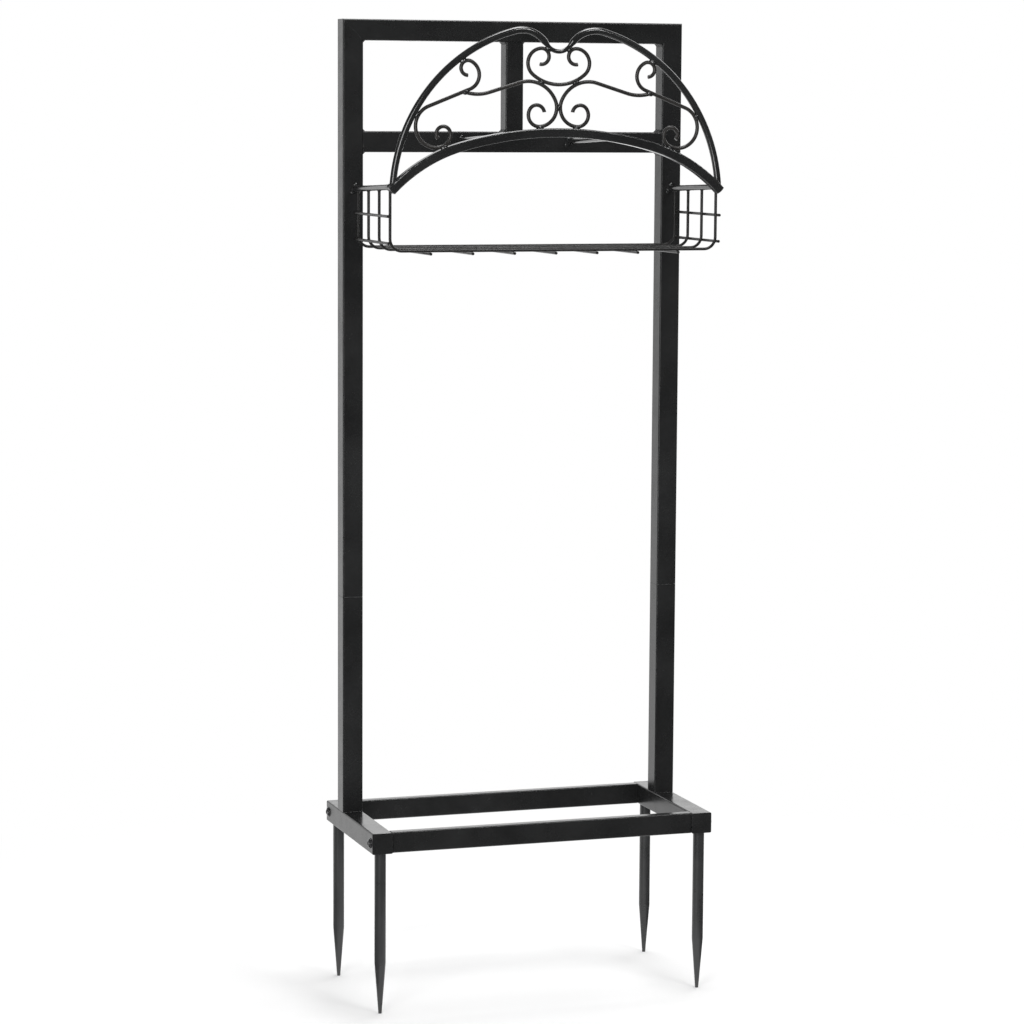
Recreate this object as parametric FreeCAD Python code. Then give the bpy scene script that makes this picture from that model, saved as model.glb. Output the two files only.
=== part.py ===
import FreeCAD, Part
import os
from math import asin, atan2, cos, hypot, pi, radians, sin, sqrt

# Freestanding garden hose holder: a square-tube frame on a base with four ground stakes, and on its
# front a hose saddle under a round-rod arch filled with scrolls, with a wire basket below.
# Millimetres, +Z up, front towards -Y. The stake tips are at Z 0 and the object is centred on X and Y.

# Square tube of the frame
TUBE = 25.0
TUBE_WALL = 1.2
TUBE_CORNER = 1.6
FRAME_WIDTH = 430.0
LOWER_POST_LENGTH = 264.0
UPPER_POST_LENGTH = 691.0
MIDDLE_RAIL_DROP = 132.0
DIVIDER = 22.0

# Plug that joins each upper post to its lower post
SPLICE_GAP = 0.3
SPIGOT_CLEARANCE = 0.3
SPIGOT_WALL = 1.5
SPIGOT_DEPTH = 40.0

# Base: side rails front to back, cross rails between them
SIDE_RAIL_LENGTH = 204.0
REAR_OVERHANG = 50.0
END_CAP = 2.0
CROSS_RAIL_DEPTH = 12.0
CROSS_RAIL_CORNER = 1.6
CROSS_RAIL_SETBACK = 3.0
END_BLOCK_LENGTH = 10.0

# Bolts that hold the cross rails
BOLT = 6.0
BOLT_HOLE_CLEARANCE = 0.5
BOLT_HEAD = 12.0
BOLT_HEAD_HEIGHT = 3.3
BOLT_HEAD_RIM = 0.8
BOLT_SOCKET = 4.0
BOLT_SOCKET_DEPTH = 1.8
BOLT_ENGAGEMENT = 8.0

# Ground stakes
STAKE = 13.6
STAKE_LENGTH = 195.0
STAKE_TAPER = 62.0
STAKE_TIP = 4.0
STAKE_INSET = 10.0

# Hose saddle: a flat bar bent to a wide crown with tighter ends
HANGER_REACH = 159.0
SADDLE_DEPTH = 12.0
SADDLE_THICKNESS = 10.5
SADDLE_EDGE = 1.6
SADDLE_END_BULGE = 1.0
SADDLE_END_INSET = 12.5
SADDLE_DROP = 67.2
CROWN_RADIUS = 430.0
CROWN_HALF_SWEEP = 16.0

# Arch over the saddle
ARCH_ROD = 8.0
DIP_ROD = 5.2
DIP_HEIGHT = 93.4
DIP_RADIUS = 17.0
DIP_HALF_SWEEP = 50.0
DIP_TAPER = 7.0
SHOULDER_RADIUS = 36.0
FLANK_RADIUS = 198.0
ARCH_FOOT_INSET = 9.0

# Scroll wire, and the hair gap left at its welds
SCROLL_WIRE = 4.4
WELD_GAP = 0.05

# Outer scrolls
OUTER_TOP_CURL_RADIUS = 8.5
OUTER_TOP_CURL_SWEEP = 203.0
OUTER_TOP_CONTACT = 54.0
OUTER_TOP_EASE = 115.0
OUTER_TOP_RADIUS = 17.3
OUTER_FOOT_RADIUS = 24.5
OUTER_EASE_RADIUS = 13.5
OUTER_EASE_SWEEP = 87.0
OUTER_FOOT_CURL_RADIUS = 8.4
OUTER_FOOT_CURL_SWEEP = 203.0

# Wave scrolls, one on each side of the centre
WAVE_END_ALONG = 8.5
WAVE_END_SLOPE = 19.0
WAVE_TROUGH_RADIUS = 50.0
WAVE_CREST_RADIUS = 36.0
WAVE_EASE = 156.0
BOWL_RADIUS = 21.8
BOWL_EASE_RADIUS = 13.3
BOWL_EASE_SWEEP = 125.0
BOWL_CURL_RADIUS = 9.5
BOWL_CURL_SWEEP = 140.0

# Centre scroll under the dip
CENTRE_CURL_RADIUS = 9.2
CENTRE_CURL_SWEEP = 195.0
CENTRE_CONTACT = 43.0
CENTRE_EASE = 87.0
CENTRE_SIDE_RADIUS = 17.0

# Round bars between the frame and the hanger, lower at the frame, with a weld collar at their rear ends
BAR = 7.0
BAR_DROP = 5.5
COLLAR = 11.0
COLLAR_LENGTH = 3.5
SIDE_BAR_INSET = 4.0
SIDE_BAR_RISE = 2.0
BRACE_SPACING = 138.0

# Wire basket under the side bars
BASKET_WIRE = 3.4
BASKET_DEPTH = 73.5
BASKET_BEND = 14.0
BASKET_REAR_GAP = 17.0
BASKET_FRONT_GAP = 8.0
HOOP_COUNT = 4
FLOOR_WIRE_COUNT = 7
FLOOR_WIRE_PITCH = 51.0
FLOOR_WIRE_OVERRUN = 4.0
SIDE_WIRE_HEIGHTS = (9.0, 40.0)

# Levels and positions that follow from the sizes above
RAIL_BOTTOM = STAKE_LENGTH
RAIL_MIDDLE = RAIL_BOTTOM + TUBE / 2
RAIL_TOP = RAIL_BOTTOM + TUBE
SPLICE = RAIL_TOP + LOWER_POST_LENGTH
FRAME_TOP = SPLICE + SPLICE_GAP + UPPER_POST_LENGTH
MIDDLE_RAIL_TOP = FRAME_TOP - MIDDLE_RAIL_DROP
POST_X = (FRAME_WIDTH - TUBE) / 2
INNER_WIDTH = FRAME_WIDTH - 2 * TUBE
POST_FRONT = (HANGER_REACH + SADDLE_DEPTH / 2 - TUBE - REAR_OVERHANG) / 2
POST_Y = POST_FRONT + TUBE / 2
BASE_REAR = POST_FRONT + TUBE + REAR_OVERHANG
BASE_FRONT = BASE_REAR - SIDE_RAIL_LENGTH
CROSS_RAIL_INSET = CROSS_RAIL_SETBACK + CROSS_RAIL_DEPTH / 2
PANEL_Y = POST_FRONT - HANGER_REACH
SADDLE_BACK = PANEL_Y + SADDLE_DEPTH / 2
CROWN_HEIGHT = MIDDLE_RAIL_TOP
WIRE_PITCH = SCROLL_WIRE + WELD_GAP

X_AXIS = FreeCAD.Vector(1, 0, 0)
Y_AXIS = FreeCAD.Vector(0, 1, 0)
Z_AXIS = FreeCAD.Vector(0, 0, 1)
CENTRE = FreeCAD.Vector(0, 0, 0)
SIDES = (("left", -1), ("right", 1))


# Plane geometry: points are (x, height) pairs in the hanger's plane

def moved(point, distance, angle):
    return (point[0] + distance * cos(angle), point[1] + distance * sin(angle))


def bearing(start, end):
    return atan2(end[1] - start[1], end[0] - start[0])


def distance_between(start, end):
    return hypot(end[0] - start[0], end[1] - start[1])


def circle_meets(centre_1, radius_1, centre_2, radius_2):
    span = distance_between(centre_1, centre_2)
    along = (radius_1 ** 2 - radius_2 ** 2 + span ** 2) / (2 * span)
    half_chord = sqrt(radius_1 ** 2 - along ** 2)
    direction = bearing(centre_1, centre_2)
    foot = moved(centre_1, along, direction)
    return [moved(foot, half_chord, direction + pi / 2), moved(foot, half_chord, direction - pi / 2)]


def on_panel(point):
    return FreeCAD.Vector(point[0], PANEL_Y, point[1])


# A bent path: each bend is (radius, turn in radians, left turns positive); a straight is (None, length)

def bent_path(start, heading, bends):
    edges = []
    point = start
    for radius, amount in bends:
        if radius is None:
            end = moved(point, amount, heading)
            edges.append(Part.LineSegment(on_panel(point), on_panel(end)).toShape())
        else:
            to_centre = heading + (pi / 2 if amount > 0 else -pi / 2)
            centre = moved(point, radius, to_centre)
            middle = moved(centre, radius, to_centre + pi + amount / 2)
            end = moved(centre, radius, to_centre + pi + amount)
            edges.append(Part.Arc(on_panel(point), on_panel(middle), on_panel(end)).toShape())
            heading += amount
        point = end
    return edges


def rod(edges, diameter):
    path = Part.Wire(edges)
    first = edges[0]
    start = first.valueAt(first.FirstParameter)
    tangent = first.tangentAt(first.FirstParameter)
    profile = Part.Wire([Part.Circle(start, tangent, diameter / 2).toShape()])
    return path.makePipeShell([profile], True, False)


# Tubes, bars and plates

def rounded_bar(width, depth, corner, length):
    bar = Part.makeBox(width, depth, length, FreeCAD.Vector(-width / 2, -depth / 2, 0))
    uprights = [edge for edge in bar.Edges if edge.Vertexes[0].Z != edge.Vertexes[1].Z]
    return bar.makeFillet(corner, uprights)


def tube(width, depth, corner, wall, length):
    outside = rounded_bar(width, depth, corner, length)
    inside = rounded_bar(width - 2 * wall, depth - 2 * wall, corner - wall, length)
    return outside.cut(inside)


def along_y(shape):
    shape.rotate(CENTRE, X_AXIS, -90)
    return shape


def along_x(shape):
    shape.rotate(CENTRE, Y_AXIS, 90)
    return shape


def placed(shape, x, y, z):
    shape.translate(FreeCAD.Vector(x, y, z))
    return shape


def mirrored(shape):
    return shape.mirror(CENTRE, X_AXIS)


def on_side(shape, side):
    return shape if side > 0 else mirrored(shape)


# Base

def side_rail():
    rail = along_y(tube(TUBE, TUBE, TUBE_CORNER, TUBE_WALL, SIDE_RAIL_LENGTH - 2 * END_CAP))
    placed(rail, POST_X, BASE_FRONT + END_CAP, RAIL_MIDDLE)
    for y in cross_rail_rows():
        hole = along_x(Part.makeCylinder((BOLT + BOLT_HOLE_CLEARANCE) / 2, TUBE))
        rail = rail.cut(placed(hole, POST_X - TUBE / 2, y, RAIL_MIDDLE))
    return rail


def end_cap(y):
    return placed(along_y(rounded_bar(TUBE, TUBE, TUBE_CORNER, END_CAP)), POST_X, y, RAIL_MIDDLE)


def cross_rail_rows():
    return (BASE_FRONT + CROSS_RAIL_INSET, BASE_REAR - CROSS_RAIL_INSET)


def cross_rail(y):
    rail = along_x(tube(TUBE, CROSS_RAIL_DEPTH, CROSS_RAIL_CORNER, TUBE_WALL, INNER_WIDTH))
    return placed(rail, -INNER_WIDTH / 2, y, RAIL_MIDDLE)


def end_block(y):
    tall = TUBE - 2 * TUBE_WALL
    deep = CROSS_RAIL_DEPTH - 2 * TUBE_WALL
    block = along_x(rounded_bar(tall, deep, CROSS_RAIL_CORNER - TUBE_WALL, END_BLOCK_LENGTH))
    block = block.cut(along_x(Part.makeCylinder(BOLT / 2, END_BLOCK_LENGTH)))
    return placed(block, INNER_WIDTH / 2 - END_BLOCK_LENGTH, y, RAIL_MIDDLE)


def rail_bolt(rail_y):
    rise = BOLT_HEAD_HEIGHT - BOLT_HEAD_RIM
    dome_radius = ((BOLT_HEAD / 2) ** 2 + rise ** 2) / (2 * rise)
    dome = placed(Part.makeSphere(dome_radius), 0, 0, BOLT_HEAD_HEIGHT - dome_radius)
    head = Part.makeCylinder(BOLT_HEAD / 2, BOLT_HEAD_HEIGHT).common(dome)
    corners = [moved((0, 0), BOLT_SOCKET / sqrt(3), turn * pi / 3) for turn in range(7)]
    hexagon = [FreeCAD.Vector(x, y, 0) for x, y in corners]
    socket = Part.Face(Part.makePolygon(hexagon)).extrude(Z_AXIS * BOLT_SOCKET_DEPTH)
    head = head.cut(placed(socket, 0, 0, BOLT_HEAD_HEIGHT - BOLT_SOCKET_DEPTH))
    length = TUBE + BOLT_ENGAGEMENT
    shank = placed(Part.makeCylinder(BOLT / 2, length), 0, 0, -length)
    return placed(along_x(head.fuse(shank)), FRAME_WIDTH / 2, rail_y, RAIL_MIDDLE)


def stake(y):
    taper = Part.makeCone(STAKE_TIP / 2, STAKE / 2, STAKE_TAPER)
    shank = placed(Part.makeCylinder(STAKE / 2, STAKE_LENGTH - STAKE_TAPER), 0, 0, STAKE_TAPER)
    return placed(taper.fuse(shank), POST_X, y, 0)


def lower_post():
    return placed(tube(TUBE, TUBE, TUBE_CORNER, TUBE_WALL, LOWER_POST_LENGTH), POST_X, POST_Y, RAIL_TOP)


def spigot():
    fitted = TUBE - 2 * TUBE_WALL
    eased = fitted - 2 * SPIGOT_CLEARANCE
    corner = TUBE_CORNER - TUBE_WALL
    lower = rounded_bar(fitted, fitted, corner, SPIGOT_DEPTH)
    upper = placed(rounded_bar(eased, eased, corner, SPIGOT_DEPTH), 0, 0, SPIGOT_DEPTH)
    hollow = rounded_bar(eased - 2 * SPIGOT_WALL, eased - 2 * SPIGOT_WALL, corner, 2 * SPIGOT_DEPTH)
    return placed(lower.fuse(upper).cut(hollow), POST_X, POST_Y, SPLICE - SPIGOT_DEPTH)


# Upper frame: posts and top rail meet in mitres

def mitre_wedge(corner_x, corner_z):
    reach = 2 * TUBE
    outline = [FreeCAD.Vector(0, 0, 0), FreeCAD.Vector(-reach, 0, -reach),
               FreeCAD.Vector(corner_x * reach, 0, corner_z * reach), FreeCAD.Vector(0, 0, 0)]
    wedge = Part.Face(Part.makePolygon(outline)).extrude(Y_AXIS * reach)
    return placed(wedge, FRAME_WIDTH / 2, POST_Y - reach / 2, FRAME_TOP)


def upper_post():
    post = tube(TUBE, TUBE, TUBE_CORNER, TUBE_WALL, UPPER_POST_LENGTH)
    return placed(post, POST_X, POST_Y, SPLICE + SPLICE_GAP).cut(mitre_wedge(-1, 0))


def top_rail():
    rail = along_x(tube(TUBE, TUBE, TUBE_CORNER, TUBE_WALL, FRAME_WIDTH))
    placed(rail, -FRAME_WIDTH / 2, POST_Y, FRAME_TOP - TUBE / 2)
    post_side = mitre_wedge(0, -1)
    return rail.cut(post_side).cut(mirrored(post_side))


def middle_rail():
    rail = along_x(tube(TUBE, TUBE, TUBE_CORNER, TUBE_WALL, INNER_WIDTH))
    return placed(rail, -INNER_WIDTH / 2, POST_Y, MIDDLE_RAIL_TOP - TUBE / 2)


def divider():
    length = MIDDLE_RAIL_DROP - TUBE
    return placed(tube(DIVIDER, DIVIDER, TUBE_CORNER, TUBE_WALL, length), 0, POST_Y, MIDDLE_RAIL_TOP)


# Hose saddle: crown arc about a centre on the middle plane, and an end arc on each side

CROWN_SWEEP = radians(CROWN_HALF_SWEEP)
CROWN_CENTRE = (0.0, CROWN_HEIGHT - CROWN_RADIUS)
CROWN_END = moved(CROWN_CENTRE, CROWN_RADIUS, pi / 2 - CROWN_SWEEP)
SADDLE_END = (FRAME_WIDTH / 2 - SADDLE_END_INSET, CROWN_HEIGHT - SADDLE_DROP)
END_HALF_TURN = -bearing(CROWN_END, SADDLE_END) - CROWN_SWEEP
END_RADIUS = distance_between(CROWN_END, SADDLE_END) / (2 * sin(END_HALF_TURN))
END_CENTRE = moved(CROWN_END, -END_RADIUS, pi / 2 - CROWN_SWEEP)
END_BEARING = pi / 2 - CROWN_SWEEP - 2 * END_HALF_TURN
END_TOP_RADIUS = END_RADIUS + SADDLE_THICKNESS / 2
CROWN_TOP_RADIUS = CROWN_RADIUS + SADDLE_THICKNESS / 2


def saddle_edge(offset):
    start = moved(END_CENTRE, END_RADIUS + offset, END_BEARING)
    bends = [(END_RADIUS + offset, 2 * END_HALF_TURN), (CROWN_RADIUS + offset, 2 * CROWN_SWEEP),
             (END_RADIUS + offset, 2 * END_HALF_TURN)]
    return bent_path(start, END_BEARING + pi / 2, bends)


def saddle():
    top = saddle_edge(SADDLE_THICKNESS / 2)
    bottom = saddle_edge(-SADDLE_THICKNESS / 2)
    nose_x, nose_height = moved(SADDLE_END, SADDLE_END_BULGE, END_BEARING - pi / 2)
    ends = []
    for x, top_end, bottom_end in ((nose_x, top[0].Vertexes[0], bottom[0].Vertexes[0]),
                                   (-nose_x, top[-1].Vertexes[-1], bottom[-1].Vertexes[-1])):
        ends.append(Part.Arc(top_end.Point, on_panel((x, nose_height)), bottom_end.Point).toShape())
    outline = Part.Wire(Part.__sortEdges__(top + bottom + ends))
    bar = placed(Part.Face(outline).extrude(Y_AXIS * SADDLE_DEPTH), 0, -SADDLE_DEPTH / 2, 0)
    rims = [edge for edge in bar.Edges if edge.BoundBox.YLength < SADDLE_EDGE]
    return bar.makeFillet(SADDLE_EDGE, rims)


# Arch: dip, shoulder and flank circles, each tangent to the next

DIP_SWEEP = radians(DIP_HALF_SWEEP)
DIP_BOTTOM = (0.0, CROWN_HEIGHT + DIP_HEIGHT)
DIP_CENTRE = (0.0, DIP_BOTTOM[1] + DIP_RADIUS)
DIP_END = moved(DIP_CENTRE, DIP_RADIUS, DIP_SWEEP - pi / 2)
TAPER_END = moved(DIP_END, DIP_TAPER, DIP_SWEEP)
SHOULDER_CENTRE = moved(TAPER_END, SHOULDER_RADIUS, DIP_SWEEP - pi / 2)
ARCH_FOOT = moved(END_CENTRE, END_TOP_RADIUS, END_BEARING + ARCH_FOOT_INSET / END_TOP_RADIUS)
FLANK_CENTRE = min(circle_meets(SHOULDER_CENTRE, FLANK_RADIUS - SHOULDER_RADIUS, ARCH_FOOT, FLANK_RADIUS))
FLANK_START = bearing(FLANK_CENTRE, SHOULDER_CENTRE)
FLANK_END = bearing(FLANK_CENTRE, ARCH_FOOT)


def arch():
    foot_run = 2 * ARCH_ROD / FLANK_RADIUS
    bends = [(SHOULDER_RADIUS, FLANK_START - pi / 2 - DIP_SWEEP),
             (FLANK_RADIUS, FLANK_END - FLANK_START - foot_run)]
    flank = rod(bent_path(TAPER_END, DIP_SWEEP, bends), ARCH_ROD)
    taper_axis = on_panel(TAPER_END) - on_panel(DIP_END)
    taper = Part.makeCone(DIP_ROD / 2, ARCH_ROD / 2, DIP_TAPER, on_panel(DIP_END), taper_axis)
    disc_front = on_panel(END_CENTRE) - Y_AXIS * ARCH_ROD
    saddle_top = Part.makeCylinder(END_TOP_RADIUS, 2 * ARCH_ROD, disc_front, Y_AXIS)
    half = flank.cut(saddle_top).fuse(taper)
    dip_start = (-DIP_END[0], DIP_END[1])
    dip = rod(bent_path(dip_start, -DIP_SWEEP, [(DIP_RADIUS, 2 * DIP_SWEEP)]), DIP_ROD)
    return half.fuse(dip).fuse(mirrored(half))


# Outer scroll: hangs from the flank by its top curl, rests its foot loop in the corner on the saddle

FLANK_INSIDE = FLANK_RADIUS - ARCH_ROD / 2 - SCROLL_WIRE / 2 - WELD_GAP
END_OUTSIDE = END_TOP_RADIUS + SCROLL_WIRE / 2 + WELD_GAP
TOP_CURL_CENTRE = moved(FLANK_CENTRE, FLANK_INSIDE - OUTER_TOP_CURL_RADIUS, radians(OUTER_TOP_CONTACT))
TOP_LOOP_CENTRE = moved(TOP_CURL_CENTRE, OUTER_TOP_CURL_RADIUS - OUTER_TOP_RADIUS, radians(OUTER_TOP_EASE))
FOOT_LOOP_CENTRE = max(circle_meets(FLANK_CENTRE, FLANK_INSIDE - OUTER_FOOT_RADIUS,
                                    END_CENTRE, END_OUTSIDE + OUTER_FOOT_RADIUS))
LOOP_RADII = OUTER_TOP_RADIUS + OUTER_FOOT_RADIUS
LOOP_SPAN = distance_between(TOP_LOOP_CENTRE, FOOT_LOOP_CENTRE)
STRAIGHT_HEADING = bearing(TOP_LOOP_CENTRE, FOOT_LOOP_CENTRE) + asin(LOOP_RADII / LOOP_SPAN)
STRAIGHT_START = moved(TOP_LOOP_CENTRE, OUTER_TOP_RADIUS, STRAIGHT_HEADING - pi / 2)


def outer_scroll_path():
    foot_turn = bearing(FOOT_LOOP_CENTRE, END_CENTRE) - STRAIGHT_HEADING - pi / 2
    ease = radians(OUTER_TOP_EASE)
    tip = ease - radians(OUTER_TOP_CURL_SWEEP)
    start = moved(TOP_CURL_CENTRE, OUTER_TOP_CURL_RADIUS, tip)
    bends = [(OUTER_TOP_CURL_RADIUS, radians(OUTER_TOP_CURL_SWEEP)),
             (OUTER_TOP_RADIUS, STRAIGHT_HEADING + 3 * pi / 2 - ease),
             (None, sqrt(LOOP_SPAN ** 2 - LOOP_RADII ** 2)),
             (OUTER_FOOT_RADIUS, foot_turn),
             (OUTER_EASE_RADIUS, -radians(OUTER_EASE_SWEEP)),
             (OUTER_FOOT_CURL_RADIUS, -radians(OUTER_FOOT_CURL_SWEEP))]
    return bent_path(start, tip + pi / 2, bends)


def outer_scroll():
    return rod(outer_scroll_path(), SCROLL_WIRE)


# Wave scroll: coped to the underside of the outer scroll's straight, over a crest, into a bowl on the crown

BOWL_X = SCROLL_WIRE / 2 + WELD_GAP / 2 + BOWL_RADIUS
BOWL_REACH = CROWN_TOP_RADIUS + SCROLL_WIRE / 2 + WELD_GAP + BOWL_RADIUS
BOWL_CENTRE = (BOWL_X, CROWN_CENTRE[1] + sqrt(BOWL_REACH ** 2 - BOWL_X ** 2))
CREST_CENTRE = moved(BOWL_CENTRE, BOWL_RADIUS - WAVE_CREST_RADIUS, radians(WAVE_EASE))


def wave_scroll():
    start = moved(STRAIGHT_START, WAVE_END_ALONG, STRAIGHT_HEADING)
    first_heading = pi + radians(WAVE_END_SLOPE)
    trough_centre = moved(start, WAVE_TROUGH_RADIUS, first_heading - pi / 2)
    radii = WAVE_TROUGH_RADIUS + WAVE_CREST_RADIUS
    span = distance_between(trough_centre, CREST_CENTRE)
    heading = bearing(trough_centre, CREST_CENTRE) - asin(radii / span) + 2 * pi
    bowl_turn = bearing(BOWL_CENTRE, CROWN_CENTRE) + 2 * pi - radians(WAVE_EASE)
    bends = [(WAVE_TROUGH_RADIUS, heading - first_heading),
             (None, sqrt(span ** 2 - radii ** 2)),
             (WAVE_CREST_RADIUS, radians(WAVE_EASE) + pi / 2 - heading),
             (BOWL_RADIUS, bowl_turn),
             (BOWL_EASE_RADIUS, radians(BOWL_EASE_SWEEP)),
             (BOWL_CURL_RADIUS, radians(BOWL_CURL_SWEEP))]
    coping = rod(outer_scroll_path(), SCROLL_WIRE + 2 * WELD_GAP)
    return rod(bent_path(start, first_heading, bends), SCROLL_WIRE).cut(coping)


# Centre scroll: its curls hang from the dip, its bottom arc rests on the two wave crests

def bottom_arc(side_centre):
    # A circle centred on X 0 that holds the side loop inside it and touches the crest outside it.
    # Both contacts together give radius = slope * height + offset, and the first alone a quadratic in height.
    crest_radius = WAVE_CREST_RADIUS + WIRE_PITCH
    radii = CENTRE_SIDE_RADIUS + crest_radius
    side_square = hypot(*side_centre) ** 2 - CENTRE_SIDE_RADIUS ** 2
    crest_square = hypot(*CREST_CENTRE) ** 2 - crest_radius ** 2
    slope = (side_centre[1] - CREST_CENTRE[1]) / radii
    offset = (crest_square - side_square) / (2 * radii)
    inner_offset = offset - CENTRE_SIDE_RADIUS
    square_part = 1 - slope ** 2
    linear_part = side_centre[1] + slope * inner_offset
    constant_part = hypot(*side_centre) ** 2 - inner_offset ** 2
    root = sqrt(linear_part ** 2 - square_part * constant_part)
    heights = ((linear_part - root) / square_part, (linear_part + root) / square_part)
    height = min(height for height in heights if slope * height + inner_offset > 0)
    return (0.0, height), slope * height + offset


def centre_scroll():
    curl_reach = DIP_RADIUS + DIP_ROD / 2 + SCROLL_WIRE / 2 + WELD_GAP + CENTRE_CURL_RADIUS
    curl_centre = moved(DIP_CENTRE, curl_reach, radians(CENTRE_CONTACT) - pi / 2)
    ease = radians(CENTRE_EASE)
    side_centre = moved(curl_centre, CENTRE_CURL_RADIUS - CENTRE_SIDE_RADIUS, ease)
    bottom_centre, bottom_radius = bottom_arc(side_centre)
    join = bearing(bottom_centre, side_centre)
    tip_angle = ease + radians(CENTRE_CURL_SWEEP)
    tip = moved(curl_centre, CENTRE_CURL_RADIUS, tip_angle)
    curl = (CENTRE_CURL_RADIUS, radians(CENTRE_CURL_SWEEP))
    side = (CENTRE_SIDE_RADIUS, ease - join)
    bends = [curl, side, (bottom_radius, 2 * join + pi), side, curl]
    return rod(bent_path((-tip[0], tip[1]), -tip_angle - pi / 2, bends), SCROLL_WIRE)


# Round bars from the frame to the back of the saddle, with a weld collar against the frame

BAR_RUN = FreeCAD.Vector(0, POST_FRONT - SADDLE_BACK, -BAR_DROP)
SIDE_BAR = moved(END_CENTRE, END_RADIUS + SIDE_BAR_RISE, END_BEARING + SIDE_BAR_INSET / END_RADIUS)
BRACE = (BRACE_SPACING / 2, CROWN_CENTRE[1] + sqrt(CROWN_RADIUS ** 2 - (BRACE_SPACING / 2) ** 2))


def bar_front(position):
    return FreeCAD.Vector(position[0], SADDLE_BACK, position[1])


def sloped_round(position, diameter):
    end_face = Part.Face(Part.Wire([Part.Circle(bar_front(position), Y_AXIS, diameter / 2).toShape()]))
    return end_face.extrude(BAR_RUN)


def hanger_bar(position):
    collar_start = bar_front(position) + BAR_RUN * (1 - COLLAR_LENGTH / BAR_RUN.y)
    collar = Part.makeCone(BAR / 2, COLLAR / 2, COLLAR_LENGTH, collar_start, Y_AXIS)
    return sloped_round(position, BAR).fuse(collar)


# Basket: hoops coped to the undersides of the side bars, straight wires laid outside the hoops

HOOP_X = SIDE_BAR[0]
HOOP_BOTTOM = SIDE_BAR[1] - BASKET_DEPTH
BASKET_BACK = POST_FRONT - BASKET_REAR_GAP
BASKET_FRONT = PANEL_Y + BASKET_FRONT_GAP
HOOP_PITCH = (BASKET_BACK - BASKET_FRONT) / (HOOP_COUNT - 1)
BASKET_RUN = BASKET_BACK - BASKET_FRONT + 2 * FLOOR_WIRE_OVERRUN


def hoop(y):
    top = SIDE_BAR[1] - BAR_DROP * (y - SADDLE_BACK) / BAR_RUN.y
    upright = top - HOOP_BOTTOM - BASKET_BEND
    floor = 2 * (HOOP_X - BASKET_BEND)
    bends = [(None, upright), (BASKET_BEND, pi / 2), (None, floor), (BASKET_BEND, pi / 2), (None, upright)]
    wire = placed(rod(bent_path((-HOOP_X, top), -pi / 2, bends), BASKET_WIRE), 0, y - PANEL_Y, 0)
    coping = sloped_round(SIDE_BAR, BAR + 2 * WELD_GAP)
    return wire.cut(coping).cut(mirrored(coping))


def side_wire_x(height):
    below_bend = max(0, BASKET_BEND - height)
    reach = BASKET_BEND + BASKET_WIRE + WELD_GAP
    return HOOP_X - BASKET_BEND + sqrt(reach ** 2 - below_bend ** 2)


def long_wire(x, z):
    wire = along_y(Part.makeCylinder(BASKET_WIRE / 2, BASKET_RUN))
    return placed(wire, x, BASKET_FRONT - FLOOR_WIRE_OVERRUN, z)


# All pieces by name

def all_pieces():
    pieces = {}
    front_row, rear_row = cross_rail_rows()
    rows = (("front", front_row, BASE_FRONT, BASE_FRONT + STAKE_INSET),
            ("rear", rear_row, BASE_REAR - END_CAP, BASE_REAR - STAKE_INSET))
    bolts = []
    for row, rail_y, cap_y, stake_y in rows:
        pieces[row + "_rail"] = cross_rail(rail_y)
        for name, side in SIDES:
            corner = row + "_" + name
            pieces["end_cap_" + corner] = on_side(end_cap(cap_y), side)
            pieces["end_block_" + corner] = on_side(end_block(rail_y), side)
            pieces["stake_" + corner] = on_side(stake(stake_y), side)
            bolts.append(on_side(rail_bolt(rail_y), side))
    pieces["rail_bolts"] = Part.makeCompound(bolts)
    for name, side in SIDES:
        pieces["side_rail_" + name] = on_side(side_rail(), side)
        pieces["lower_post_" + name] = on_side(lower_post(), side)
        pieces["spigot_" + name] = on_side(spigot(), side)
        pieces["upper_post_" + name] = on_side(upper_post(), side)
        pieces["brace_" + name] = on_side(hanger_bar(BRACE), side)
        pieces["outer_scroll_" + name] = on_side(outer_scroll(), side)
        pieces["wave_scroll_" + name] = on_side(wave_scroll(), side)
        pieces["side_bar_" + name] = on_side(hanger_bar(SIDE_BAR), side)
        for level, height in enumerate(SIDE_WIRE_HEIGHTS):
            wire = long_wire(side * side_wire_x(height), HOOP_BOTTOM + height)
            pieces["side_wire_%s_%d" % (name, level + 1)] = wire
    pieces["top_rail"] = top_rail()
    pieces["middle_rail"] = middle_rail()
    pieces["divider"] = divider()
    pieces["saddle"] = saddle()
    pieces["arch"] = arch()
    pieces["centre_scroll"] = centre_scroll()
    for index in range(HOOP_COUNT):
        pieces["hoop_%d" % (index + 1)] = hoop(BASKET_FRONT + index * HOOP_PITCH)
    for index in range(FLOOR_WIRE_COUNT):
        x = (index - (FLOOR_WIRE_COUNT - 1) / 2) * FLOOR_WIRE_PITCH
        pieces["floor_wire_%d" % (index + 1)] = long_wire(x, HOOP_BOTTOM - BASKET_WIRE - WELD_GAP)
    return pieces


os.makedirs("parts", exist_ok=True)
for node, shape in all_pieces().items():
    shape.exportStep("parts/" + node + ".step")
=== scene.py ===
from math import cos, pi, radians, sin, sqrt

import bmesh
import bpy
from mathutils import Matrix, Vector, noise
from mathutils.bvhtree import BVHTree


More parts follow.
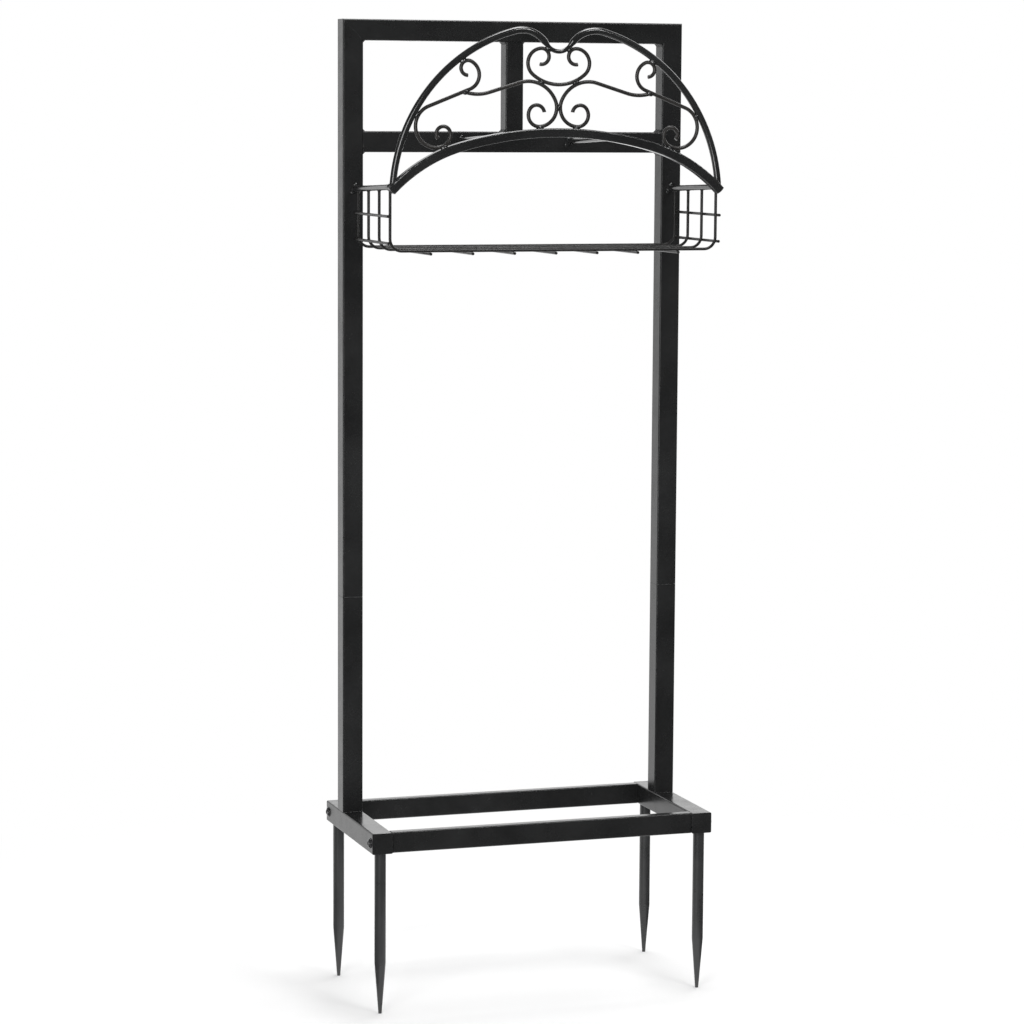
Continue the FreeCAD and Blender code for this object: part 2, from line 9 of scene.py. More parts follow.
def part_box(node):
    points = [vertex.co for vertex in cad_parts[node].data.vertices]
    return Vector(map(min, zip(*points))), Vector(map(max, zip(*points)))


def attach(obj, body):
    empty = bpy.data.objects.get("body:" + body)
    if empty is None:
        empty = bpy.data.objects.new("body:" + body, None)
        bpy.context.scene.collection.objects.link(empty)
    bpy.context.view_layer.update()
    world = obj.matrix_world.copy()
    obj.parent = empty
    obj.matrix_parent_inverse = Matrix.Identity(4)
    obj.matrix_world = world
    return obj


# Freestanding hose holder in black powder coat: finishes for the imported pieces, weld beads at the joints,
# and a plain white studio. Metres, +Z up, front towards -Y; the sizes of the welds are in millimetres.

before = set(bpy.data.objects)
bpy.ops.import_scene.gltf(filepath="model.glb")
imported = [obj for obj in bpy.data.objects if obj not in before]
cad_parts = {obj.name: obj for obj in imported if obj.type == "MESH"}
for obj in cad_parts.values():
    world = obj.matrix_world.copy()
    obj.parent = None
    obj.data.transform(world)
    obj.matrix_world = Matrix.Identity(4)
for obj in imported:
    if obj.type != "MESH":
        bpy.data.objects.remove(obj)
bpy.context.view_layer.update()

MM = 0.001
SIDES = {"left": -1, "right": 1}
X_AXIS = Vector((1, 0, 0))
Y_AXIS = Vector((0, 1, 0))
Z_AXIS = Vector((0, 0, 1))

# Camera of the photograph, its lens and sensor in millimetres
CAMERA_AT = Vector((-1.28509, -3.79485, 1.06555))
CAMERA_YAW = radians(18.494)
CAMERA_PITCH = radians(6.823)
CAMERA_ROLL = radians(0.348)
CAMERA_LENS = 117.204
CAMERA_SENSOR = 36.0

# Fillet beads
FRAME_LEG = 4.2
DIVIDER_LEG = 3.6
POST_FOOT_LEG = 0.9
RING_LEG = 1.5
BEAD_END_INSET = 1.2
BEAD_SINK = 0.3
BEAD_STEP = 0.4
BEAD_BULGE = 0.16
BEAD_POINTS = 6
RIPPLE_PITCH = 1.7
RIPPLE_DEPTH = 0.09
BEAD_WANDER = 0.12
WANDER_RATE = 0.35

# Share of the section's area that is left at a bead's ends
BEAD_END_AREA = 0.3

# Ground seams on the mitres: their section is given in full size
SEAM_HALF_WIDTH = 0.7
SEAM_HEIGHT = 0.5
SEAM_SCALE = 1.0

# Lumps: half sizes along the joint, across it and in depth
WIRE_TACK = (4.2, 2.8, 3.3)
ROD_TACK = (4.6, 3.2, 3.8)
HOOP_TACK = (2.8, 2.2, 1.3)
SPOT_WELD = (1.5, 1.5, 0.9)
BAR_LUMP = (3.2, 2.2, 2.4)
BAR_LUMP_OFFSETS = ((1.6, 5.0), (-3.0, -4.2))

# Uneven surface of a lump: a coarse swell, and a finer one with a share of its height
LUMP_SUBDIVISIONS = 3
LUMP_SWELL = 0.18
LUMP_GRAIN = 1.6
FINE_SWELL_SHARE = 0.4
FINE_SWELL_RATIO = 2.7

# Steps through the noise from one weld to the next, so that no two are alike
LUMP_NOISE_STEP_X = 3.1
LUMP_NOISE_STEP_Y = 1.7
BEAD_NOISE_STEP = 5.3

# Pieces count as touching within this distance, and touches closer together than the spread are one
TOUCH = 0.6
TOUCH_SPREAD = 12.0


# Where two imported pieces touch: the middle of each touching patch and the way the second piece faces there

def touches(first, second):
    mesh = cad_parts[first].data
    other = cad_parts[second].data
    corners = [vertex.co for vertex in other.vertices]
    surface = BVHTree.FromPolygons(corners, [face.vertices for face in other.polygons])
    near = []
    for vertex in mesh.vertices:
        place, normal, _, distance = surface.find_nearest(vertex.co, TOUCH * MM)
        if place is not None:
            near.append((distance, vertex.co.copy(), normal))
    near.sort(key=lambda touch: touch[0])
    patches = []
    for _, place, normal in near:
        for patch in patches:
            if (patch[0][0] - place).length < TOUCH_SPREAD * MM:
                patch.append((place, normal))
                break
        else:
            patches.append([(place, normal)])
    return [middle_of(patch) for patch in patches]


def middle_of(patch):
    places, normals = zip(*patch)
    place = sum(places, Vector()) / len(patch)
    facing = sum(normals, Vector()).normalized()
    return place, facing


def nodes_named(start):
    return [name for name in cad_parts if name.startswith(start)]


# Section of a fillet bead: the corner of the two legs, and a slightly bulged face between their ends

def bead_section():
    section = [(0.0, 0.0)]
    for i in range(BEAD_POINTS + 1):
        turn = pi / 2 * i / BEAD_POINTS
        bulge = BEAD_BULGE * sin(2 * turn)
        section.append((1 - sin(turn) + bulge, 1 - cos(turn) + bulge))
    return section


# Section of a ground seam: a low half round

def seam_section():
    angles = [pi * i / BEAD_POINTS for i in range(BEAD_POINTS + 1)]
    return [(cos(angle) * SEAM_HALF_WIDTH, sin(angle) * SEAM_HEIGHT) for angle in angles]


# Share of a bead's full size at a distance along it: its section shrinks towards both ends

def end_taper(run, length, leg):
    from_end = min(run, length - run)
    return sqrt(min(1.0, from_end / leg + BEAD_END_AREA))


# Weld metal of one kind: its lumps, beads, seams and rings are gathered in one mesh that rides one body

class Weld:
    def __init__(self, name, body, slot):
        self.name = name
        self.body = body
        self.slot = slot
        self.mesh = bmesh.new()
        self.count = 0

    # Uneven egg with its three half sizes along, across and square to both
    def lump(self, centre, along, across, half_sizes):
        depth = along.cross(across)
        self.count += 1
        shift = Vector((self.count * LUMP_NOISE_STEP_X, self.count * LUMP_NOISE_STEP_Y, 0))
        made = bmesh.ops.create_icosphere(self.mesh, subdivisions=LUMP_SUBDIVISIONS, radius=1.0)
        for vertex in made["verts"]:
            seed = vertex.co * LUMP_GRAIN + shift
            fine = FINE_SWELL_SHARE * noise.noise(seed * FINE_SWELL_RATIO)
            swell = 1.0 + LUMP_SWELL * (noise.noise(seed) + fine)
            local = vertex.co * swell
            offset = along * local.x * half_sizes[0]
            offset += across * local.y * half_sizes[1]
            offset += depth * local.z * half_sizes[2]
            vertex.co = centre + offset * MM

    # Skin over a section that is set at each station: a point, the ways of the two legs, and a size
    def sweep(self, section, stations, closed):
        rings = []
        for point, leg_a, leg_b, size in stations:
            ring = []
            for a, b in section:
                offset = leg_a * (a * size - BEAD_SINK) + leg_b * (b * size - BEAD_SINK)
                ring.append(self.mesh.verts.new(point + offset * MM))
            rings.append(ring)
        pairs = list(zip(rings, rings[1:]))
        if closed:
            pairs.append((rings[-1], rings[0]))
        for ring, following in pairs:
            for i in range(len(ring)):
                j = (i + 1) % len(ring)
                self.mesh.faces.new((ring[i], ring[j], following[j], following[i]))
        if not closed:
            self.mesh.faces.new(reversed(rings[0]))
            self.mesh.faces.new(rings[-1])

    def line(self, section, start, end, leg_a, leg_b, leg):
        self.count += 1
        length = (end - start).length / MM
        steps = round(length / BEAD_STEP)
        stations = []
        for i in range(steps + 1):
            run = length * i / steps
            size = leg * end_taper(run, length, leg) * self.ripple(run)
            stations.append((start.lerp(end, i / steps), leg_a, leg_b, size))
        self.sweep(section, stations, closed=False)

    def bead(self, start, end, leg_a, leg_b, leg):
        self.line(bead_section(), start, end, leg_a, leg_b, leg)

    def seam(self, start, end, across, outward):
        self.line(seam_section(), start, end, across, outward, SEAM_SCALE)

    # Bead round the foot of a rod
    def ring(self, centre, axis_a, axis_b, radius):
        self.count += 1
        outward = axis_a.cross(axis_b)
        length = 2 * pi * radius
        steps = round(length / BEAD_STEP)
        stations = []
        for i in range(steps):
            angle = 2 * pi * i / steps
            radial = axis_a * cos(angle) + axis_b * sin(angle)
            size = RING_LEG * self.ripple(length * i / steps)
            stations.append((centre + radial * radius * MM, radial.normalized(), outward, size))
        self.sweep(bead_section(), stations, closed=True)

    def ripple(self, run):
        wander = noise.noise(Vector((run * WANDER_RATE, self.count * BEAD_NOISE_STEP, 0)))
        return 1.0 + RIPPLE_DEPTH * sin(2 * pi * run / RIPPLE_PITCH) + BEAD_WANDER * wander

    def finish(self, material):
        bmesh.ops.recalc_face_normals(self.mesh, faces=self.mesh.faces)
        for face in self.mesh.faces:
            face.smooth = True
        data = bpy.data.meshes.new(self.name)
        self.mesh.to_mesh(data)
        self.mesh.free()
        data.materials.append(material)
        piece = bpy.data.objects.new(self.name, data)
        bpy.context.scene.collection.objects.link(piece)
        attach(piece, self.body)


# Node helpers

# Most values of a noise lie in this band
NOISE_BAND = (0.3, 0.7)
FULL_RANGE = (0.0, 1.0)

# An edge shows where the rounded normal turns away from the face's own: cosines of that turn
EDGE_BAND = (0.96, 0.80)
EDGE_SAMPLES = 6


def node(tree, kind, **settings):
    made = tree.nodes.new(kind)
    for key, value in settings.items():
        setattr(made, key, value)
    return made


def noise_node(tree, vector, scale, detail, roughness=0.5):
    made = node(tree, "ShaderNodeTexNoise")
    made.inputs["Scale"].default_value = scale
    made.inputs["Detail"].default_value = detail
    made.inputs["Roughness"].default_value = roughness
    tree.links.new(vector, made.inputs["Vector"])
    return made.outputs["Fac"]


# A value moved from one range to another and kept inside it
def ranged(tree, value, band, result):
    made = node(tree, "ShaderNodeMapRange", clamp=True)
    tree.links.new(value, made.inputs["Value"])
    for key, number in zip(("From Min", "From Max", "To Min", "To Max"), (*band, *result)):
        made.inputs[key].default_value = number
    return made.outputs["Result"]


def combined(tree, operation, first, second):
    made = node(tree, "ShaderNodeMath", operation=operation)
    tree.links.new(first, made.inputs[0])
    tree.links.new(second, made.inputs[1])
    return made.outputs["Value"]


def mixed_colour(tree, factor, first, second):
    made = node(tree, "ShaderNodeMix", data_type="RGBA")
    tree.links.new(factor, made.inputs["Factor"])
    for key, value in (("A", first), ("B", second)):
        socket = next(s for s in made.inputs if s.name == key and s.type == "RGBA")
        if isinstance(value, tuple):
            socket.default_value = (*value, 1.0)
        else:
            tree.links.new(value, socket)
    return next(s for s in made.outputs if s.type == "RGBA")


def bump(tree, height, distance, normal):
    made = node(tree, "ShaderNodeBump")
    made.inputs["Distance"].default_value = distance
    tree.links.new(height, made.inputs["Height"])
    tree.links.new(normal, made.inputs["Normal"])
    return made.outputs["Normal"]


def rounded_edges(tree, radius):
    made = node(tree, "ShaderNodeBevel", samples=EDGE_SAMPLES)
    made.inputs["Radius"].default_value = radius
    return made.outputs["Normal"]


def edge_mask(tree, rounded):
    geometry = node(tree, "ShaderNodeNewGeometry")
    dot = node(tree, "ShaderNodeVectorMath", operation="DOT_PRODUCT")
    tree.links.new(rounded, dot.inputs[0])
    tree.links.new(geometry.outputs["Normal"], dot.inputs[1])
    return ranged(tree, dot.outputs["Value"], EDGE_BAND, FULL_RANGE)


def new_material(name):
    material = bpy.data.materials.new(name)
    material.use_nodes = True
    tree = material.node_tree
    return material, tree, tree.nodes["Principled BSDF"]


# Powder coat: uneven film, fine grain, orange peel, and sharp edges made paler, partly as rubbed wear and
# partly as a painted highlight

BLACK = (0.0144, 0.0147, 0.0149)
WIRE_BLACK = (0.0155, 0.0150, 0.0146)
SCROLL_BLACK = (0.0225, 0.0212, 0.0200)
STAKE_BLACK = (0.0320, 0.0327, 0.0335)
# Pale grey of the grain speckles and of the edges; on the edges it is partly rubbed wear and partly a
# painted highlight
RUBBED_AND_HIGHLIGHT_COAT = (0.060, 0.060, 0.061)
FILM_NOISE = dict(scale=14.0, detail=4.0, roughness=0.6)
SPECKLE_NOISE = dict(scale=2600.0, detail=2.0)
PEEL_NOISE = dict(scale=620.0, detail=2.0)
SMUDGE_NOISE = dict(scale=55.0, detail=5.0, roughness=0.65)
SPECKLE_BAND = (0.62, 0.75)
SPECKLE_SHARE = (0.0, 0.5)
SPECKLE_HEIGHT = 0.000003
COARSE_PEEL = 0.00002
FINE_PEEL = 0.000006
SMUDGE_BAND = (0.35, 0.7)
ROUGHNESS_LOSS = 0.03
ROUGHNESS_GAIN = 0.04
COAT_EDGE_RADIUS = 0.0006
EDGE_WEAR_AND_HIGHLIGHT_BAND = (0.35, 0.65)
EDGE_WEAR_AND_HIGHLIGHT_SHARE = (0.25, 0.9)

# The coat is darker where its film is thick and lighter where it is thin
THICK_FILM = 0.72
THIN_FILM = 1.3


def powder_coat(name, colour, roughness, peel, ior):
    material, tree, shader = new_material(name)
    place = node(tree, "ShaderNodeTexCoord").outputs["Object"]
    film = noise_node(tree, place, **FILM_NOISE)
    speckle = noise_node(tree, place, **SPECKLE_NOISE)
    orange_peel = noise_node(tree, place, **PEEL_NOISE)
    smudge = noise_node(tree, place, **SMUDGE_NOISE)
    rounded = rounded_edges(tree, COAT_EDGE_RADIUS)
    # Paler edges: partly rubbed coat, partly a painted highlight along the rims
    patchy = ranged(tree, smudge, EDGE_WEAR_AND_HIGHLIGHT_BAND, EDGE_WEAR_AND_HIGHLIGHT_SHARE)
    paler_edges = combined(tree, "MULTIPLY", edge_mask(tree, rounded), patchy)

    darker = tuple(THICK_FILM * channel for channel in colour)
    lighter = tuple(THIN_FILM * channel for channel in colour)
    base = mixed_colour(tree, ranged(tree, film, NOISE_BAND, FULL_RANGE), darker, lighter)
    speckled = ranged(tree, speckle, SPECKLE_BAND, SPECKLE_SHARE)
    grained = mixed_colour(tree, speckled, base, RUBBED_AND_HIGHLIGHT_COAT)
    # Base colour with the grain, rubbed wear and painted edge highlight mixed in
    tree.links.new(mixed_colour(tree, paler_edges, grained, RUBBED_AND_HIGHLIGHT_COAT), shader.inputs["Base Color"])

    uneven = ranged(tree, film, NOISE_BAND, (roughness - ROUGHNESS_LOSS, roughness + ROUGHNESS_GAIN))
    smudged = ranged(tree, smudge, SMUDGE_BAND, (-ROUGHNESS_LOSS, ROUGHNESS_GAIN))
    tree.links.new(combined(tree, "ADD", uneven, smudged), shader.inputs["Roughness"])

    shader.inputs["IOR"].default_value = ior
    peeled = bump(tree, orange_peel, peel, rounded)
    tree.links.new(bump(tree, speckle, SPECKLE_HEIGHT, peeled), shader.inputs["Normal"])
    return material


# Black oxide of the bolts: mottled, with bright rubbed edges

OXIDE_DARK = (0.130, 0.130, 0.134)
OXIDE_LIGHT = (0.300, 0.298, 0.304)
RUBBED_OXIDE = (0.55, 0.55, 0.555)
MOTTLE_NOISE = dict(scale=420.0, detail=5.0, roughness=0.65)
GRAIN_NOISE = dict(scale=2400.0, detail=2.0)
GRAIN_HEIGHT = 0.00002
OXIDE_EDGE_RADIUS = 0.0004
OXIDE_WEAR_BAND = (0.3, 0.6)
OXIDE_WEAR_SHARE = (0.2, 1.0)
OXIDE_ROUGHNESS = (0.14, 0.28)
OXIDE_METALLIC = 0.9


def black_oxide(name):
    material, tree, shader = new_material(name)
    place = node(tree, "ShaderNodeTexCoord").outputs["Object"]
    mottle = noise_node(tree, place, **MOTTLE_NOISE)
    grain = noise_node(tree, place, **GRAIN_NOISE)
    rounded = rounded_edges(tree, OXIDE_EDGE_RADIUS)
    patchy = ranged(tree, mottle, OXIDE_WEAR_BAND, OXIDE_WEAR_SHARE)
    paler_edges = combined(tree, "MULTIPLY", edge_mask(tree, rounded), patchy)
    base = mixed_colour(tree, ranged(tree, mottle, NOISE_BAND, FULL_RANGE), OXIDE_DARK, OXIDE_LIGHT)
    tree.links.new(mixed_colour(tree, paler_edges, base, RUBBED_OXIDE), shader.inputs["Base Color"])
    tree.links.new(ranged(tree, mottle, NOISE_BAND, OXIDE_ROUGHNESS), shader.inputs["Roughness"])
    tree.links.new(bump(tree, grain, GRAIN_HEIGHT, rounded), shader.inputs["Normal"])
    shader.inputs["Metallic"].default_value = OXIDE_METALLIC
    return material


# Bare drawn steel of the plugs in the posts: lengthwise die lines and a dull oil film

STEEL_DARK = (0.20, 0.195, 0.19)
STEEL_LIGHT = (0.50, 0.50, 0.51)
DIE_LINE_NOISE = dict(scale=1500.0, detail=3.0)
DIE_LINE_STRETCH = 60.0
DIE_LINE_SHADE = (0.5, 1.0)
DIE_LINE_HEIGHT = 0.00003
OIL_NOISE = dict(scale=60.0, detail=5.0, roughness=0.6)
OIL_SHADE = (0.6, 1.0)
STEEL_ROUGHNESS = (0.30, 0.48)


def drawn_steel(name):
    material, tree, shader = new_material(name)
    place = node(tree, "ShaderNodeTexCoord").outputs["Object"]
    stretch = node(tree, "ShaderNodeMapping", vector_type="TEXTURE")
    stretch.inputs["Scale"].default_value = (1.0, 1.0, DIE_LINE_STRETCH)
    tree.links.new(place, stretch.inputs["Vector"])
    lines = noise_node(tree, stretch.outputs["Vector"], **DIE_LINE_NOISE)
    oil = noise_node(tree, place, **OIL_NOISE)
    lined = ranged(tree, lines, NOISE_BAND, DIE_LINE_SHADE)
    shade = combined(tree, "MULTIPLY", lined, ranged(tree, oil, NOISE_BAND, OIL_SHADE))
    steel = mixed_colour(tree, shade, STEEL_DARK, STEEL_LIGHT)
    tree.links.new(steel, shader.inputs["Base Color"])
    tree.links.new(ranged(tree, oil, NOISE_BAND, STEEL_ROUGHNESS), shader.inputs["Roughness"])
    geometry = node(tree, "ShaderNodeNewGeometry")
    lined_normal = bump(tree, lines, DIE_LINE_HEIGHT, geometry.outputs["Normal"])
    tree.links.new(lined_normal, shader.inputs["Normal"])
    shader.inputs["Metallic"].default_value = 1.0
    return material


# Finish of each slot; the scrolls have a paler coat than the other pieces of the hanger

FINISHES = {
    "frame_coat": powder_coat("frame_powder_coat", BLACK, roughness=0.23, peel=COARSE_PEEL, ior=1.5),
    "hanger_coat": powder_coat("hanger_powder_coat", BLACK, roughness=0.16, peel=FINE_PEEL, ior=1.8),
    "basket_coat": powder_coat("basket_powder_coat", WIRE_BLACK, roughness=0.28, peel=FINE_PEEL, ior=1.4),
    "stake_coat": powder_coat("stake_powder_coat", STAKE_BLACK, roughness=0.30, peel=COARSE_PEEL, ior=1.5),
    "bolt_coat": black_oxide("bolt_black_oxide"),
    "inner_steel": drawn_steel("plug_drawn_steel"),
}
SCROLL_FINISH = powder_coat("scroll_powder_coat", SCROLL_BLACK, roughness=0.27, peel=FINE_PEEL, ior=1.5)

for name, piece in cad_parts.items():
    for holder in piece.material_slots:
        slot_name = holder.material.name
        holder.link = "OBJECT"
        holder.material = SCROLL_FINISH if "scroll" in name else FINISHES[slot_name]


# Welds of the square-tube frame: a fillet in each window corner, and ground seams on the mitres

def frame_welds():
    welds = Weld("frame_welds", "upper_frame", "frame_coat")
    post_low, post_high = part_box("upper_post_right")
    top_low, top_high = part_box("top_rail")
    rail_low, rail_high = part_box("middle_rail")
    divider_low, divider_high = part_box("divider")
    window_corners = [(top_low.z, -Z_AXIS), (rail_high.z, Z_AXIS)]
    post_corners = window_corners + [(rail_low.z, -Z_AXIS)]
    inset = BEAD_END_INSET * MM
    for side in SIDES.values():
        for height, upright in post_corners:
            start = Vector((side * post_low.x, post_low.y + inset, height))
            end = Vector((side * post_low.x, post_high.y - inset, height))
            welds.bead(start, end, -side * X_AXIS, upright, FRAME_LEG)
        for height, upright in window_corners:
            start = Vector((side * divider_high.x, divider_low.y + inset, height))
            end = Vector((side * divider_high.x, divider_high.y - inset, height))
            welds.bead(start, end, side * X_AXIS, upright, DIVIDER_LEG)
        across = Vector((-side, 0, 1)).normalized()
        for y, outward in ((post_low.y, -Y_AXIS), (post_high.y, Y_AXIS)):
            start = Vector((side * (post_low.x + inset), y, top_low.z + inset))
            end = Vector((side * (post_high.x - inset), y, top_high.z - inset))
            welds.seam(start, end, across, outward)
    return welds


# Welds of the base: a small fillet in front of and behind the foot of each post

def base_welds():
    welds = Weld("base_welds", "base", "frame_coat")
    low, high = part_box("lower_post_right")
    inset = BEAD_END_INSET * MM
    for side in SIDES.values():
        for y, away in ((low.y, -Y_AXIS), (high.y, Y_AXIS)):
            start = Vector((side * (low.x + inset), y, low.z))
            end = Vector((side * (high.x - inset), y, low.z))
            welds.bead(start, end, away, Z_AXIS, POST_FOOT_LEG)
    return welds


# Welds of the scrolls: a tack at each place where they touch each other, the arch or the saddle

def scroll_welds():
    welds = Weld("scroll_welds", "upper_frame", "hanger_coat")
    pairs = [("wave_scroll_left", "wave_scroll_right", WIRE_TACK)]
    for side_name in SIDES:
        outer = "outer_scroll_" + side_name
        wave = "wave_scroll_" + side_name
        pairs += [(outer, "arch", ROD_TACK), (outer, "saddle", ROD_TACK), (wave, "saddle", ROD_TACK)]
        pairs += [(wave, outer, WIRE_TACK), (wave, "centre_scroll", WIRE_TACK)]
    pairs.append(("centre_scroll", "arch", WIRE_TACK))
    for first, second, sizes in pairs:
        for place, facing in touches(first, second):
            across = Vector((facing.x, 0, facing.z)).normalized()
            welds.lump(place, across.cross(Y_AXIS), across, sizes)
    return welds


# Welds of the rods: lumps at the rear end of each bar, rings round the bars' front ends and the arch's feet

def bar_welds():
    welds = Weld("bar_welds", "upper_frame", "hanger_coat")
    for side_name in SIDES:
        side_bar = ("side_bar_" + side_name, "upper_post_" + side_name)
        brace = ("brace_" + side_name, "middle_rail")
        for bar, carrier in (side_bar, brace):
            for place, _ in touches(bar, carrier):
                for x, height in BAR_LUMP_OFFSETS:
                    welds.lump(place + Vector((x, 0, height)) * MM, X_AXIS, Z_AXIS, BAR_LUMP)
            for place, _ in touches(bar, "saddle"):
                _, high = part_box(bar)
                welds.ring(place, Z_AXIS, X_AXIS, (high.z - place.z) / MM)
    rod_low, rod_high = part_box("arch")
    rod_radius = (rod_high.y - rod_low.y) / 2 / MM
    for place, facing in touches("arch", "saddle"):
        welds.ring(place, Y_AXIS, facing.cross(Y_AXIS), rod_radius)
    return welds


# Welds of the basket: tacks that hold the hoops to the side bars, spot welds at the wire crossings

def basket_welds():
    welds = Weld("basket_welds", "upper_frame", "basket_coat")
    for hoop in nodes_named("hoop_"):
        for bar in nodes_named("side_bar_"):
            for place, _ in touches(hoop, bar):
                welds.lump(place, Y_AXIS, X_AXIS, HOOP_TACK)
        for wire in nodes_named("floor_wire_") + nodes_named("side_wire_"):
            for place, facing in touches(hoop, wire):
                welds.lump(place, Y_AXIS, facing.cross(Y_AXIS), SPOT_WELD)
    return welds


for weld in (frame_welds(), base_welds(), scroll_welds(), bar_welds(), basket_welds()):
    weld.finish(FINISHES[weld.slot])


# Camera

def camera_axes():
    level_ahead = Vector((sin(CAMERA_YAW), cos(CAMERA_YAW), 0))
    forward = level_ahead * cos(CAMERA_PITCH) - Z_AXIS * sin(CAMERA_PITCH)
    level = Vector((cos(CAMERA_YAW), -sin(CAMERA_YAW), 0))
    upright = level.cross(forward)
    right = level * cos(CAMERA_ROLL) + upright * sin(CAMERA_ROLL)
    up = upright * cos(CAMERA_ROLL) - level * sin(CAMERA_ROLL)
    return right, up, -forward


def make_camera():
    data = bpy.data.cameras.new("photo_camera")
    data.lens = CAMERA_LENS
    data.sensor_width = CAMERA_SENSOR
    camera = bpy.data.objects.new("photo_camera", data)
    bpy.context.scene.collection.objects.link(camera)
    turn = Matrix(camera_axes()).transposed().to_4x4()
    camera.matrix_world = Matrix.Translation(CAMERA_AT) @ turn
    bpy.context.scene.camera = camera


make_camera()


# Studio: white floor that keeps the shadow, white surroundings, soft boxes, and dark flags and mats
# round the object that only show in reflections

WHITE = (1.0, 1.0, 1.0, 1.0)
AMBIENT = 0.56
FLOOR_REACH = 30.0
FLOOR_WHITE = 0.92

# Distances from the object over which the floor turns from lit matte to plain white
FLOOR_FADE = (0.3, 1.1)

FLAG_BLACK = 0.02
FLAG_ROUGHNESS = 0.9
STAGE_LEFT = -7.0
STAGE_RIGHT = 8.0
STAGE_FRONT = -5.6
FLAG_FOOT = 0.02
FLAG_TOP = 4.2
FRONT_FLAG_TOP = 5.0
TOP_FLAG_BACK = 3.0
SIDE_FLAG_AT = 3.0
LEFT_FLAG_FRONT = -1.7
LEFT_FLAG_BACK = 7.0
RIGHT_FLAG_FRONT = -3.0
RIGHT_FLAG_BACK = 4.0
MAT_LEVEL = 0.01
SIDE_MAT_INNER = 0.26
SIDE_MAT_FRONT = -0.35
SIDE_MAT_BACK = 0.3

# Lowest and highest corner of each flag and mat
FLAGS = {
    "front_flag": ((STAGE_LEFT, STAGE_FRONT, FLAG_FOOT), (STAGE_RIGHT, STAGE_FRONT, FRONT_FLAG_TOP)),
    "front_mat": ((STAGE_LEFT, STAGE_FRONT, MAT_LEVEL), (STAGE_RIGHT, SIDE_MAT_FRONT, MAT_LEVEL)),
    "left_flag": ((-SIDE_FLAG_AT, LEFT_FLAG_FRONT, FLAG_FOOT), (-SIDE_FLAG_AT, LEFT_FLAG_BACK, FLAG_TOP)),
    "right_flag": ((SIDE_FLAG_AT, RIGHT_FLAG_FRONT, FLAG_FOOT), (SIDE_FLAG_AT, RIGHT_FLAG_BACK, FLAG_TOP)),
    "left_mat": ((STAGE_LEFT, SIDE_MAT_FRONT, MAT_LEVEL), (-SIDE_MAT_INNER, SIDE_MAT_BACK, MAT_LEVEL)),
    "right_mat": ((SIDE_MAT_INNER, SIDE_MAT_FRONT, MAT_LEVEL), (STAGE_RIGHT, SIDE_MAT_BACK, MAT_LEVEL)),
    "top_flag": ((STAGE_LEFT, STAGE_FRONT, FLAG_TOP), (STAGE_RIGHT, TOP_FLAG_BACK, FLAG_TOP)),
}

# Soft boxes: each faces the object's upright middle line at its aim, and its power is in watts
LIGHTS = {
    "soft_box_top": dict(place=(0.3, 0.2, 3.2), aim=0.6, width=1.6, height=1.0, power=42.0),
    "wide_box_left": dict(place=(-1.85, -2.4, 1.25), aim=0.95, width=1.0, height=2.5, power=40.0),
    "back_box": dict(place=(1.0, 3.2, 0.95), aim=0.5, width=2.4, height=1.2, power=4.0),
    "soft_box_front": dict(place=(1.3, -3.0, 3.3), aim=0.9, width=1.2, height=0.7, power=30.0),
    "rim_box_right": dict(place=(2.2, 1.6, 2.2), aim=1.0, width=1.6, height=1.6, power=18.0),
}


def seen_mirrored(path, tree):
    return combined(tree, "ADD", path.outputs["Is Glossy Ray"], path.outputs["Is Transmission Ray"])


# Level or upright sheet between its lowest and its highest corner
def sheet(name, low, high, material):
    across, along = [axis for axis in range(3) if low[axis] != high[axis]]
    corners = [Vector(low) for _ in range(4)]
    for corner in corners[1:3]:
        corner[across] = high[across]
    for corner in corners[2:]:
        corner[along] = high[along]
    data = bpy.data.meshes.new(name)
    data.from_pydata(corners, [], [(0, 1, 2, 3)])
    data.materials.append(material)
    made = bpy.data.objects.new(name, data)
    bpy.context.scene.collection.objects.link(made)
    return made


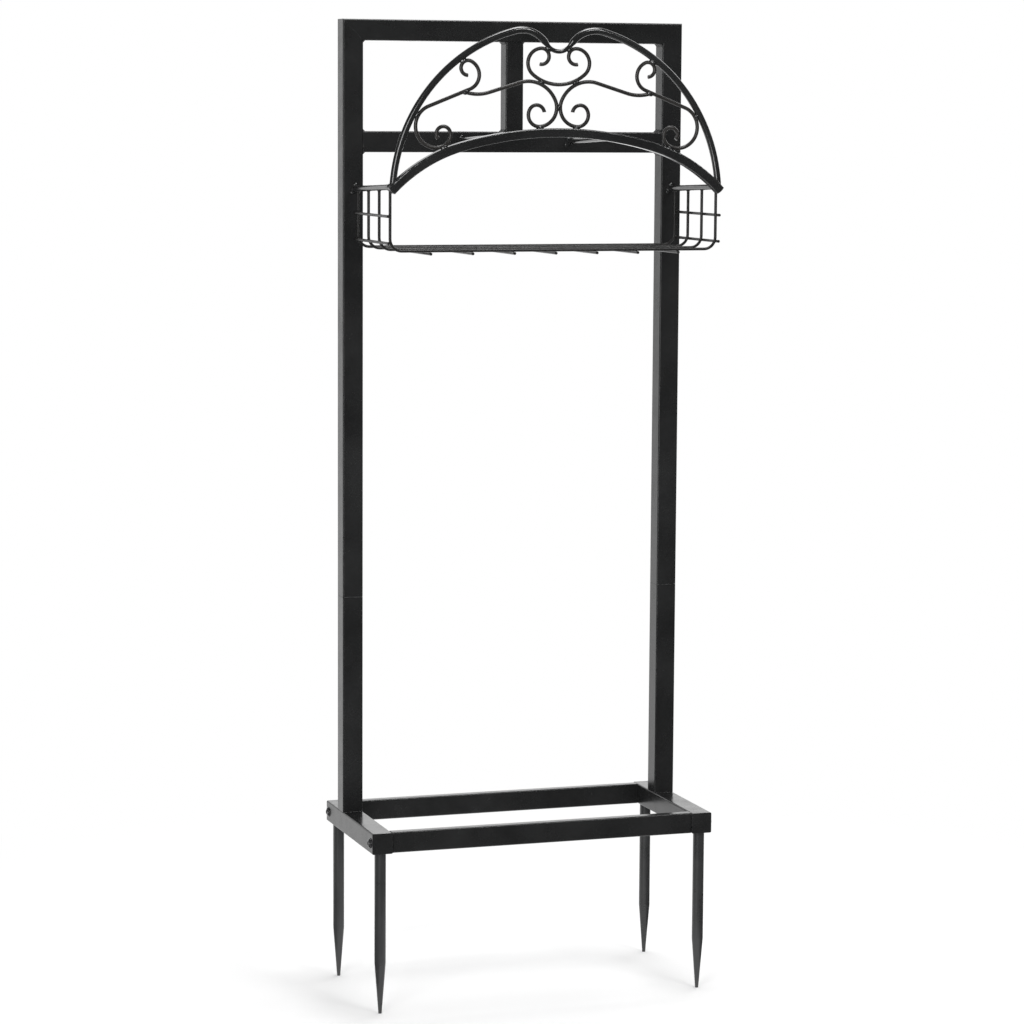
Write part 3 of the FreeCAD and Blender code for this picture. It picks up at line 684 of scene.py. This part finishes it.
def make_floor():
    material = bpy.data.materials.new("floor_white")
    material.use_nodes = True
    tree = material.node_tree
    tree.nodes.clear()
    place = node(tree, "ShaderNodeTexCoord").outputs["Object"]
    distance = node(tree, "ShaderNodeVectorMath", operation="LENGTH")
    tree.links.new(place, distance.inputs[0])
    fade = ranged(tree, distance.outputs["Value"], FLOOR_FADE, FULL_RANGE)
    path = node(tree, "ShaderNodeLightPath")
    seen = combined(tree, "MULTIPLY", path.outputs["Is Camera Ray"], fade)
    matte = node(tree, "ShaderNodeBsdfDiffuse")
    matte.inputs["Color"].default_value = (FLOOR_WHITE, FLOOR_WHITE, FLOOR_WHITE, 1.0)
    white = node(tree, "ShaderNodeEmission")
    mix = node(tree, "ShaderNodeMixShader")
    tree.links.new(combined(tree, "ADD", seen, seen_mirrored(path, tree)), mix.inputs["Fac"])
    tree.links.new(matte.outputs["BSDF"], mix.inputs[1])
    tree.links.new(white.outputs["Emission"], mix.inputs[2])
    output = node(tree, "ShaderNodeOutputMaterial")
    tree.links.new(mix.outputs["Shader"], output.inputs["Surface"])
    sheet("floor", (-FLOOR_REACH, -FLOOR_REACH, 0), (FLOOR_REACH, FLOOR_REACH, 0), material)


def make_flags():
    material, _, shader = new_material("flag_black")
    shader.inputs["Base Color"].default_value = (FLAG_BLACK, FLAG_BLACK, FLAG_BLACK, 1.0)
    shader.inputs["Roughness"].default_value = FLAG_ROUGHNESS
    for name, (low, high) in FLAGS.items():
        flag = sheet(name, low, high, material)
        flag.visible_camera = False
        flag.visible_diffuse = False
        flag.visible_shadow = False


def make_light(name, place, aim, width, height, power):
    data = bpy.data.lights.new(name, "AREA")
    data.shape = "RECTANGLE"
    data.size = width
    data.size_y = height
    data.energy = power
    light = bpy.data.objects.new(name, data)
    bpy.context.scene.collection.objects.link(light)
    light.visible_camera = False
    light.location = place
    light.rotation_mode = "QUATERNION"
    light.rotation_quaternion = (Z_AXIS * aim - Vector(place)).to_track_quat("-Z", "Y")


def make_world():
    world = bpy.data.worlds.new("studio")
    bpy.context.scene.world = world
    world.use_nodes = True
    tree = world.node_tree
    tree.nodes.clear()
    ambient = node(tree, "ShaderNodeBackground")
    ambient.inputs["Strength"].default_value = AMBIENT
    white = node(tree, "ShaderNodeBackground")
    for background in (ambient, white):
        background.inputs["Color"].default_value = WHITE
    path = node(tree, "ShaderNodeLightPath")
    mix = node(tree, "ShaderNodeMixShader")
    seen = combined(tree, "ADD", path.outputs["Is Camera Ray"], seen_mirrored(path, tree))
    tree.links.new(seen, mix.inputs["Fac"])
    tree.links.new(ambient.outputs["Background"], mix.inputs[1])
    tree.links.new(white.outputs["Background"], mix.inputs[2])
    output = node(tree, "ShaderNodeOutputWorld")
    tree.links.new(mix.outputs["Shader"], output.inputs["Surface"])


make_floor()
make_flags()
make_world()
for name, settings in LIGHTS.items():
    make_light(name, **settings)

bpy.context.scene.view_settings.view_transform = "Standard"
